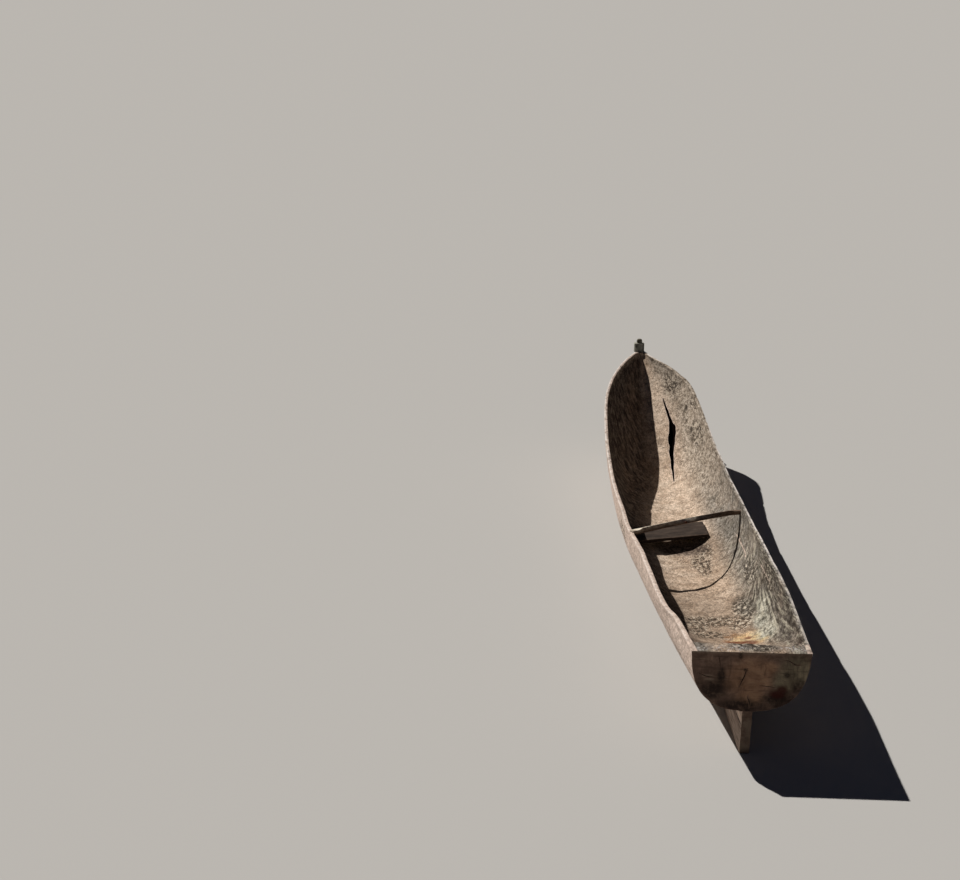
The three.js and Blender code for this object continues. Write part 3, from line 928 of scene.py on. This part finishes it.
def split_cutter():
    """The split in the floor near the bow, open to the hollow alone, with torn edges."""
    rings = []
    for d in np.linspace(SPLIT_LINE[0, 0], SPLIT_LINE[-1, 0], 70):
        x, mouth, root = (np.interp(d, SPLIT_LINE[:, 0], SPLIT_LINE[:, n]) for n in (1, 2, 3))
        hollow, outer = hollow_half(d), outer_half(d)
        ring = []
        for side, shares in ((1, (0, 0.5, 1)), (-1, (1, 0.5, 0))):
            tear = 1 + 0.3 * waver(34, 81 + side, d, side * 50.0)
            for share in shares:
                px = x + side * tear * (mouth + (root - mouth) * share) / 2
                top = height_on(hollow, px) + SPLIT_REACH["above_hollow"]
                bottom = height_on(outer, px) + SPLIT_REACH["wood_left"]
                ring.append([px, d, top + (bottom - top) * share])
        rings.append(ring)
    return loft_with_flat_ends(rings)


# Cracks: number of sections, how far their cutters stand out of the wood, and how far they waver
SURFACE_CUT = {"sections": 26, "out": 8, "waver": 7}
LEDGE_CUT = {"sections": 10, "out": 13, "aft": 6, "waver": 2.2}
TRANSOM_CUT = {"sections": 16, "out": 6, "waver": 3.5}


def notch(mouth, root, spread):
    """Section of a crack: its open mouth, wide by the spread to both sides, and its root."""
    return np.array([mouth + spread, root, mouth - spread])


def tapered(t, least, power):
    """Share of a crack's full size at a share of its length."""
    return math.sin(math.pi * min(max(t, least), 1 - least)) ** power


def surface_crack(which, start, end, across, width, depth, seed):
    """Drying crack along the grain in the outer or the hollow surface."""
    side = math.copysign(1, across)
    rings = []
    for t in np.linspace(0, 1, SURFACE_CUT["sections"]):
        d = start + (end - start) * t
        line = outer_half(d) if which == "outer" else hollow_half(d)
        length = lengths(line)
        at = abs(across) * length[-1] + SURFACE_CUT["waver"] * waver(110, seed, d, seed * 9.0)
        centre, beyond = (np.array([np.interp(a, length, line[:, n]) for n in range(2)])
                          for a in (at, at + 4))
        along = (beyond - centre) / np.linalg.norm(beyond - centre)
        out = np.array([-along[1], along[0]])
        out = out if (out[0] > 0) == (which == "outer") else -out
        taper = tapered(t, 0.02, 0.6)
        w = width * taper * (0.8 + 0.4 * waver(30, seed + 3, d) ** 2)
        mouth, root = centre + out * SURFACE_CUT["out"], centre - out * depth * taper
        ring = notch(mouth, root, along * (w / 2 + 1))
        rings.append(section_at(d, side * ring[:, 0], ring[:, 1]))
    return loft_with_flat_ends(rings)


# Drying cracks: surface, start, end, share of the way from rail to keel (minus is left), width,
# depth
SURFACE_CRACKS = [
    ("outer", 60, 520, -0.34, 3.0, 12),
    ("outer", 240, 760, 0.42, 3.0, 12),
    ("outer", 1250, 1720, -0.22, 2.6, 9),
    ("outer", 900, 1500, 0.18, 2.6, 9),
    ("outer", 2050, 2500, 0.36, 3.0, 10),
    ("outer", 2250, 2900, -0.45, 3.0, 10),
    ("outer", 3050, 3400, -0.3, 3.0, 9),
    ("outer", 2980, 3330, 0.5, 2.6, 9),
    ("outer", 1480, 1980, 0.62, 2.4, 9),
    ("outer", 560, 980, -0.68, 2.6, 10),
    ("hollow", 2150, 2650, -0.3, 3.0, 8),
    ("hollow", 1180, 1560, 0.3, 2.2, 7),
    ("hollow", 700, 1010, 0.18, 2.4, 7),
]

# Cracks in the stern corners and the ledge, from above: x, distance of both ends, width, depth
LEDGE_CRACKS = [
    (156, 26, 166, 104, 2.6, 9),
    (146, 44, 150, 96, 2.2, 8),
    (132, 64, 152, 120, 2.6, 9),
    (-104, 2, -98, 40, 1.8, 6),
    (-36, 3, -40, 50, 1.6, 6),
    (60, 2, 66, 34, 1.6, 6),
]

# Cracks in the transom: x and height of both ends, width, depth
TRANSOM_CRACKS = [
    (-10, 292, -30, 226, 1.8, 14),
    (-156, 268, -104, 256, 1.8, 10),
    (30, 238, 80, 229, 1.5, 10),
    (-6, 198, 6, 156, 1.8, 14),
    (92, 322, 150, 303, 1.5, 9),
    (-98, 334, -90, 288, 1.5, 9),
]


def ledge_cutter(x0, d0, x1, d1, width, depth, seed):
    rings = []
    for t in np.linspace(0, 1, LEDGE_CUT["sections"]):
        d = d0 + (d1 - d0) * t
        x = x0 + (x1 - x0) * t + LEDGE_CUT["waver"] * waver(18, seed, d)
        floor = STERN_TOP - depth * (1 - 0.6 * t) - max(d - LEDGE_END, 0) * 0.8
        spread = np.array([width * (1 - 0.8 * t) / 2 + 1.5, 0, 0])
        mouth = np.array([x, d - LEDGE_CUT["aft"], STERN_TOP + LEDGE_CUT["out"]])
        rings.append(notch(mouth, [*mouth[:2], floor], spread))
    return loft_with_flat_ends(rings)


def transom_cutter(x0, z0, x1, z1, width, depth, seed):
    start, end = np.array([x0, 0, z0], float), np.array([x1, 0, z1], float)
    along = (end - start) / np.linalg.norm(end - start)
    across = np.array([-along[2], 0, along[0]])
    rings = []
    for t in np.linspace(0, 1, TRANSOM_CUT["sections"]):
        c = start + (end - start) * t
        c = c + across * TRANSOM_CUT["waver"] * waver(22, seed, c[0], c[2])
        taper = tapered(t, 0.03, 0.5)
        mouth, root = c - [0, TRANSOM_CUT["out"], 0], c + [0, depth * taper, 0]
        rings.append(notch(mouth, root, across * width * taper))
    return loft_with_flat_ends(rings)


# Batten: a thin slat that is stout only near its ends, where it is housed
BATTEN = {"width": 24, "height": 21, "slat": 24, "slat_thickness": 9.5}
BATTEN_HOUSED = (34, 62)

# How far the batten leans towards the bow: distance along it, degrees
BATTEN_LEAN = np.array([
    (0, 10), (130, 14), (240, 34), (340, 50), (420, 38), (500, 20), (600, 10),
], float)

# Middle line of the bent batten: distance right of the middle, distance from the stern, height
BATTEN_LINE = np.array([
    (-257, 1170, 285), (-150, 1225, 291), (-70, 1278, 290), (34, 1362, 282), (130, 1457, 266),
    (216, 1540, 252), (272, 1574, 246),
], float)
NAIL_RUN = 2


def run_axes(start, end):
    """Axes of a run from left to right: along it, across it towards the bow, and up."""
    along = (end - start) / np.linalg.norm(end - start)
    across = np.array([-along[1], along[0], 0])
    across /= np.linalg.norm(across)
    return along, across, np.cross(along, across)


def batten_places(count):
    """Lengths along the batten, each with its point and axes, the bends a little rounder."""
    length = lengths(BATTEN_LINE)
    fine = np.linspace(0, length[-1], count)
    points = np.stack([np.interp(fine, length, BATTEN_LINE[:, n]) for n in range(3)], 1)
    return [(at, points[n], run_axes(points[max(n - 4, 0)], points[min(n + 4, count - 1)]))
            for n, at in enumerate(fine)]


def batten_housing(rows, raised):
    """Cutter for one end of the batten, open above by the given height."""
    last = len(BATTEN_LINE) - 1
    w, h = BATTEN["width"] / 2 + GAP * 2, BATTEN["height"] / 2 + GAP * 2
    rings = []
    for n in rows:
        along, across, up = run_axes(BATTEN_LINE[max(n - 1, 0)], BATTEN_LINE[min(n + 1, last)])
        middle = BATTEN_LINE[n] + along * GAP * 2 * (int(n == last) - int(n == 0))
        rings.append([middle + across * out + up * rise for out, rise in (
            (w, h + raised), (w, -h), (-w, -h), (-w, h + raised))])
    return loft_with_flat_ends(rings)


def oblong_ring(half_width, half_height, corner, count=40):
    """Ring of a rounded oblong, with points closest together at the corners."""
    a = full_turn(count) + math.pi / count
    return np.stack([half * np.sign(v) * np.abs(v) ** (2 / corner)
                     for half, v in ((half_width, np.cos(a)), (half_height, np.sin(a)))], 1)


def build_batten():
    """Slat that twists along its length."""
    places = batten_places(200)
    total = places[-1][0]
    rings, local = [], []
    for at, middle, (along, across, up) in places:
        from_end = min(at, total - at)
        housed = 1 - float(fade(from_end, *BATTEN_HOUSED))
        wane = (1 - 0.16 * (1 - fade(from_end, 0, 5))) * (0.97 - 0.03 * waver(120, 91, at))
        broad = BATTEN["slat"] + (BATTEN["height"] - BATTEN["slat"]) * housed
        thin = BATTEN["slat_thickness"] + (BATTEN["width"] - BATTEN["slat_thickness"]) * housed
        ring = oblong_ring(thin / 2 * wane, broad / 2 * wane, 7)
        lean = math.radians(float(curve(BATTEN_LEAN, 1, at)) * (1 - housed))
        out = ring[:, :1] * math.cos(lean) + ring[:, 1:] * math.sin(lean)
        rise = ring[:, 1:] * math.cos(lean) - ring[:, :1] * math.sin(lean)
        rings.append(middle + out * across + rise * up)
        local.append(section_at(at, *ring.T))
    mesh = new_mesh("batten", *closed_body(rings, 5, 5))
    local, _ = closed_body(local, 5, 5)
    x, z = points_of(mesh)[0][:, 0], local[:, 2]
    carve(mesh, unevenness(local, "batten"))
    low_edge = 0.7 * (1 - fade(z, -9.5, -7))
    # Paler top edge on the left half: wear, and a painted highlight where the slat's top catches
    # the sun
    keep_values(mesh, worn=fade(z, 1, 6) * (1 - fade(x, 20, 120)),
                shaded=np.maximum(low_edge, 0.9 * fade(x, 40, 170)))
    return new_object("batten_stick", mesh)


# Low cross plank: two places on its upper stern edge, and where its ends are
BOARD = {"width": 165, "thickness": 19, "left": -200, "right": 157}
BOARD_EDGE = np.array([(-121, 1540, 119), (156, 1684, 96)], float)
SKEW = math.atan2(*(BOARD_EDGE[1] - BOARD_EDGE[0])[[1, 0]])


def build_board():
    """Split plank with wavy edges and worn corners, made of slices across the boat."""
    start, end = BOARD_EDGE
    slope = (end - start) / (end[0] - start[0])
    axes = run_axes(start, end)
    depth = BOARD["width"] / axes[1][1]
    rings = []
    for t in np.concatenate([[0, 0.004], np.linspace(0.012, 0.988, 120), [0.996, 1]]):
        x = BOARD["left"] + (BOARD["right"] - BOARD["left"]) * t
        _, aft, top = start + slope * (x - start[0])
        wave = [1.5 + 1.5 * waver(46, 104, x, edge) for edge in (0.0, 900.0)]
        aft, fore = aft + wave[0], aft + depth - wave[1]
        ends = 1 - 0.03 * (1 - fade(min(t, 1 - t), 0, 0.012))
        ring = oblong_ring((fore - aft) / 2 * ends, BOARD["thickness"] / 2 * ends, 9, 120)
        ring += [(aft + fore) / 2, top - BOARD["thickness"] / 2 - 0.2]
        seat = height_on(hollow_half((aft + fore) / 2), x) + 1.2
        ring[:, 1] = np.maximum(ring[:, 1], seat)
        rings.append(np.column_stack([np.full(len(ring), x), ring]))
    mesh = new_mesh("board", *closed_body(rings, 7, 9))
    local = (points_of(mesh)[0] - start) @ np.stack(axes, 1)
    carve(mesh, unevenness(local, "board"))
    on_top = fade(local[:, 2], -5, -2)
    keep_values(mesh, worn=(1 - fade(local[:, 1], 2, 14)) * on_top, shaded=1 - on_top)
    return new_object("cross_board_plank", mesh)


# Skeg, whose first sections are smaller, so that its stern edges are worn: distance, size
SKEG = {"length": 860, "foot": 690, "width": 34, "bedding": 1.2}
SKEG_SECTIONS = [(0, 0.9), (1.5, 0.965)] + [(d, 1) for d in (4, *range(9, 850, 7), 852, 856, 859)]
SKEG_STEPS = (26, 10, 26, 10)
TREENAILS = (90, 330, 560)
TREENAIL_HOLE = {"radius": 8.6, "bottom": -4, "top": 30, "sides": 14}


def build_skeg():
    half = SKEG["width"] / 2
    end_top = float(curve(OUTER_LINES, KEEL, SKEG["length"]))
    rings = []
    for d, size in SKEG_SECTIONS:
        top = float(curve(OUTER_LINES, KEEL, d)) + SKEG["bedding"]
        bottom = max(0.0, (d - SKEG["foot"]) / (SKEG["length"] - SKEG["foot"]) * end_top)
        depth = max(top - bottom, 2.5)
        corners = np.array([[-half, top], [-half, bottom], [half, bottom], [half, top]])
        at, length = rounded_ring(corners, min(3.0, depth * 0.3))
        x, z = at(np.concatenate([np.linspace(a, b, count, endpoint=False) for a, b, count
                                  in zip(length, length[1:], SKEG_STEPS)])).T
        z = bottom + (z - z.min()) * (depth / np.ptp(z))
        rings.append(section_at(d, x * (half / x.max()) * size, z))
    mesh = new_mesh("skeg", *closed_body(rings, 9, 4))
    points = points_of(mesh)[0]
    below = curve(OUTER_LINES, KEEL, points[:, 1]) - points[:, 2]
    carve(mesh, unevenness(points, "skeg") * (fade(points[:, 2], 0, 5) * fade(below, 0, 8)))
    low, stern_edge = 1 - fade(points[:, 2], 0, 9), 1 - fade(points[:, 1], 0, 5)
    keep_values(mesh, worn=np.maximum(low, stern_edge) * 0.7)
    return new_object("skeg_board", mesh)


def treenail_cutter(d):
    a = full_turn(TREENAIL_HOLE["sides"])
    flat = TREENAIL_HOLE["radius"] * np.stack([np.cos(a), np.sin(a)], 1) + [0, d]
    return loft_with_flat_ends([slice_at(TREENAIL_HOLE[end], flat) for end in ("bottom", "top")])


# Stem block and its peg
STEM = {"width": 64, "length": 56, "height": 56, "right": -6}
STEM_PLACE = np.array([STEM["right"], HULL_LENGTH - STEM["length"] / 2])
PEG_HEAD = {"radius": 19, "height": 27}

# Outline of the peg's head: share of its radius, share of its height
PEG_OUTLINE = np.array([
    (0.74, 0), (0.9, 0.1), (0.98, 0.25), (0.99, 0.42), (0.93, 0.6), (0.84, 0.76), (0.68, 0.89),
    (0.44, 0.975),
])


def build_stem_block():
    base, height = STEM_TOP + GAP, STEM["height"]
    rings = []
    for t in np.concatenate([[0, 0.02], np.linspace(0.05, 0.95, 30), [0.98, 1]]):
        edge = 1 - 0.06 * (1 - fade(min(t, 1 - t), 0, 0.06)) * (1 if t > 0.5 else 0.3)
        ring = oblong_ring(STEM["width"] / 2 * edge, STEM["length"] / 2 * edge, 6.5, 72)
        rings.append(slice_at(base + height * t, STEM_PLACE + ring))
    mesh = new_mesh("block", *closed_body(rings, 8, 10))
    points = points_of(mesh)[0]
    z = points[:, 2]
    carve(mesh, unevenness(points, "block") * fade(z, base + 1, base + 12))
    keep_values(mesh, worn=fade(z, base + height - 10, base + height - 2))
    return new_object("stem_block_wood", mesh)


def build_peg_head():
    """Rough head of the peg on the block, hewn to uneven facets."""
    base = STEM_TOP + GAP + STEM["height"] - 0.6
    a = full_turn(48)
    facet = 1 - 0.07 * (0.5 - 0.5 * np.cos(a * 5 + 0.6 * np.sin(a)))
    outline = np.stack([facet * np.cos(a), facet * np.sin(a)], 1)
    shares = [np.interp(np.linspace(0, 1, 20), np.linspace(0, 1, len(PEG_OUTLINE)), column)
              for column in PEG_OUTLINE.T]
    rings = [slice_at(base + height * PEG_HEAD["height"],
                      STEM_PLACE + outline * radius * PEG_HEAD["radius"])
             for radius, height in zip(*shares)]
    peak = (*STEM_PLACE, base + PEG_HEAD["height"])
    mesh = new_mesh("peg", *closed_body(rings, 3, 6, None, peak))
    points = points_of(mesh)[0]
    z = points[:, 2]
    carve(mesh, unevenness(points, "peg") * fade(z, base, base + 3))
    keep_values(mesh, worn=fade(z, base + 17, base + 26) * 0.6)
    return new_object("stem_peg_head", mesh)


# Outline of the nail: radius, height out of the batten's face; it is uneven where it is wide
NAIL_OUTLINE = [(2.2, -9), (2.3, -3), (2.4, 0.1), (4.4, 0.5), (5.4, 0.9), (5.5, 1.6), (4.9, 2.2),
                (3.4, 2.5)]
NAIL_SHANK, NAIL_TOP = 3, 2.6


def build_nail():
    """Hand-driven nail: an uneven head on a short shank."""
    start, end = BATTEN_LINE[NAIL_RUN], BATTEN_LINE[NAIL_RUN + 1]
    along, across, up = run_axes(start, end)
    at = (start + end) / 2 - across * BATTEN["width"] / 2
    a = full_turn(28)
    rim = 1 + 0.07 * np.sin(a * 3 + 0.8) + 0.04 * np.sin(a * 5)
    rings = []
    for radius, height in NAIL_OUTLINE:
        spread = (radius * (rim if radius > NAIL_SHANK else 1) * np.stack([np.cos(a), np.sin(a)])).T
        rings.append(at - across * height + spread @ np.stack([along, up]))
    mesh = new_mesh("nail", *closed_body(rings, 2, 4, None, at - across * NAIL_TOP))
    return new_object("nail_head", mesh)


def use_material_on(mesh, marked, number):
    """Gives a material to the faces whose vertices are all marked."""
    for polygon in mesh.polygons:
        if all(marked[v] for v in polygon.vertices):
            polygon.material_index = number


# Seeds of the first crack of each kind
CRACK_SEEDS = {"surface": 200, "ledge": 240, "transom": 260}

# The pieces are made
hull_mesh, *places, on_end_face = build_hull()
unworn = points_of(hull_mesh)[0]
carve_hull(hull_mesh, *places)
mark_hull(hull_mesh, unworn, *places)
add_materials(hull_mesh, HULL_WOOD, END_GRAIN)
use_material_on(hull_mesh, on_end_face, 1)
hull = new_object("hull_log", hull_mesh)
cutters = [split_cutter(), batten_housing((0, 1, 2), 60), batten_housing((5, 6), 0)]
for cutter, table, seed in ((surface_crack, SURFACE_CRACKS, CRACK_SEEDS["surface"]),
                            (ledge_cutter, LEDGE_CRACKS, CRACK_SEEDS["ledge"]),
                            (transom_cutter, TRANSOM_CRACKS, CRACK_SEEDS["transom"])):
    cutters += [cutter(*row, seed=seed + n) for n, row in enumerate(table)]
cut_with(hull, cutters, CRACK_WOOD)
finish_mesh(hull, "hull_wood", "hull")

ALONG_Y, ALONG_X, ALONG_Z = (1, 0.07, 1), (0.07, 1, 1), (1, 1, 0.09)
BOARD_TURN = (0, 0, SKEW)
skeg = build_skeg()
add_materials(skeg.data, plank_wood("skeg_wood", srgb(234, 208, 188), srgb(138, 116, 102),
                                    ALONG_Y, 0.8, grain=0.6), END_GRAIN)
use_material_on(skeg.data, points_of(skeg.data)[0][:, 1] < 3, 1)
cut_with(skeg, [treenail_cutter(d) for d in TREENAILS], CRACK_WOOD)
finish_mesh(skeg, "skeg_wood", "stern_skeg")

finish_mesh(build_batten(), "dark_wood", "batten", plank_wood(
    "batten_wood", srgb(196, 174, 154), srgb(116, 97, 83), ALONG_X, turn=BOARD_TURN,
    worn=srgb(226, 216, 198)))
finish_mesh(build_board(), "dark_wood", "cross_board", plank_wood(
    "board_wood", srgb(84, 71, 62), srgb(50, 40, 34), ALONG_X, 0.4, BOARD_TURN, srgb(96, 80, 68)))
finish_mesh(build_stem_block(), "stem_wood", "stem_block", plank_wood(
    "stem_wood", srgb(182, 180, 168), srgb(100, 99, 90), ALONG_Z, 0.8))
PEG_WOOD = plank_wood("peg_wood", srgb(158, 152, 136), srgb(92, 86, 74), ALONG_Z)
finish_mesh(build_peg_head(), "peg_wood", "stem_peg", PEG_WOOD)
finish_mesh(build_nail(), "rusty_iron", "batten_nail", rusty_iron())

for number in range(len(TREENAILS)):
    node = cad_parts[f"skeg_treenail_{number + 1}"]
    node.data.materials.clear()
    node.data.materials.append(PEG_WOOD)


# Floor, light and camera
FLOOR = {"radius": 70, "sides": 96}
SUN = {"direction": (0.718, -0.640, -1.0), "strength": 4.6, "angle": 0.6,
       "colour": srgb(255, 250, 243)}
SKY = {"strength": 0.03, "colour": srgb(196, 210, 255)}
CAMERA = {"place": (-0.6616, -4.5943, 1.75), "down": 15.19, "left": 3.27, "lens": 37.5,
          "sensor": 36, "far": 200}


def build_floor():
    """A flat round floor that reaches to the horizon."""
    sides, radius = FLOOR["sides"], FLOOR["radius"]
    angles = [2 * math.pi * k / sides for k in range(sides)]
    verts = [(0, 0, 0)] + [(radius * math.cos(a), radius * math.sin(a), 0) for a in angles]
    faces = [(0, 1 + k, 1 + (k + 1) % sides) for k in range(sides)]
    mesh = bpy.data.meshes.new("floor")
    mesh.from_pydata(verts, [], faces)
    mesh.materials.append(pale_floor())
    return new_object("floor", mesh)


def floor_tone():
    """Colour of the lit floor in the render, so that the backdrop behind it can have the same."""
    x, y, z = SUN["direction"]
    sunlight = SUN["strength"] * abs(z) / math.hypot(x, y, z) / math.pi
    return [own * (sunlight * sun_colour + SKY["strength"] * sky_colour)
            for own, sun_colour, sky_colour in zip(FLOOR_COLOUR[:3], SUN["colour"], SKY["colour"])]


def build_world():
    """Soft even light, with the floor's own tone where the camera looks past the floor."""
    world = bpy.data.worlds.new("studio")
    world.use_nodes = True
    nodes, links = world.node_tree.nodes, world.node_tree.links
    sky = nodes["Background"]
    sky.inputs["Color"].default_value = SKY["colour"]
    sky.inputs["Strength"].default_value = SKY["strength"]
    backdrop = nodes.new("ShaderNodeBackground")
    backdrop.inputs["Color"].default_value = (*floor_tone(), 1)
    choice = nodes.new("ShaderNodeMixShader")
    links.new(nodes.new("ShaderNodeLightPath").outputs["Is Camera Ray"], choice.inputs[0])
    links.new(sky.outputs[0], choice.inputs[1])
    links.new(backdrop.outputs[0], choice.inputs[2])
    links.new(choice.outputs[0], nodes["World Output"].inputs["Surface"])
    return world


build_floor()
bpy.context.scene.world = build_world()

light = bpy.data.lights.new("key", "SUN")
light.energy = SUN["strength"]
light.angle = math.radians(SUN["angle"])
light.color = SUN["colour"][:3]
lamp = new_object("key", light)
lamp.rotation_mode = "QUATERNION"
lamp.rotation_quaternion = Vector(SUN["direction"]).to_track_quat("-Z", "Y")

camera = bpy.data.cameras.new("camera")
camera.lens = CAMERA["lens"]
camera.sensor_width = CAMERA["sensor"]
camera.clip_end = CAMERA["far"]
viewer = new_object("camera", camera)
viewer.location = CAMERA["place"]
viewer.rotation_euler = (math.radians(90 - CAMERA["down"]), 0, math.radians(CAMERA["left"]))
bpy.context.scene.camera = viewer
bpy.context.scene.view_settings.view_transform = "Standard"
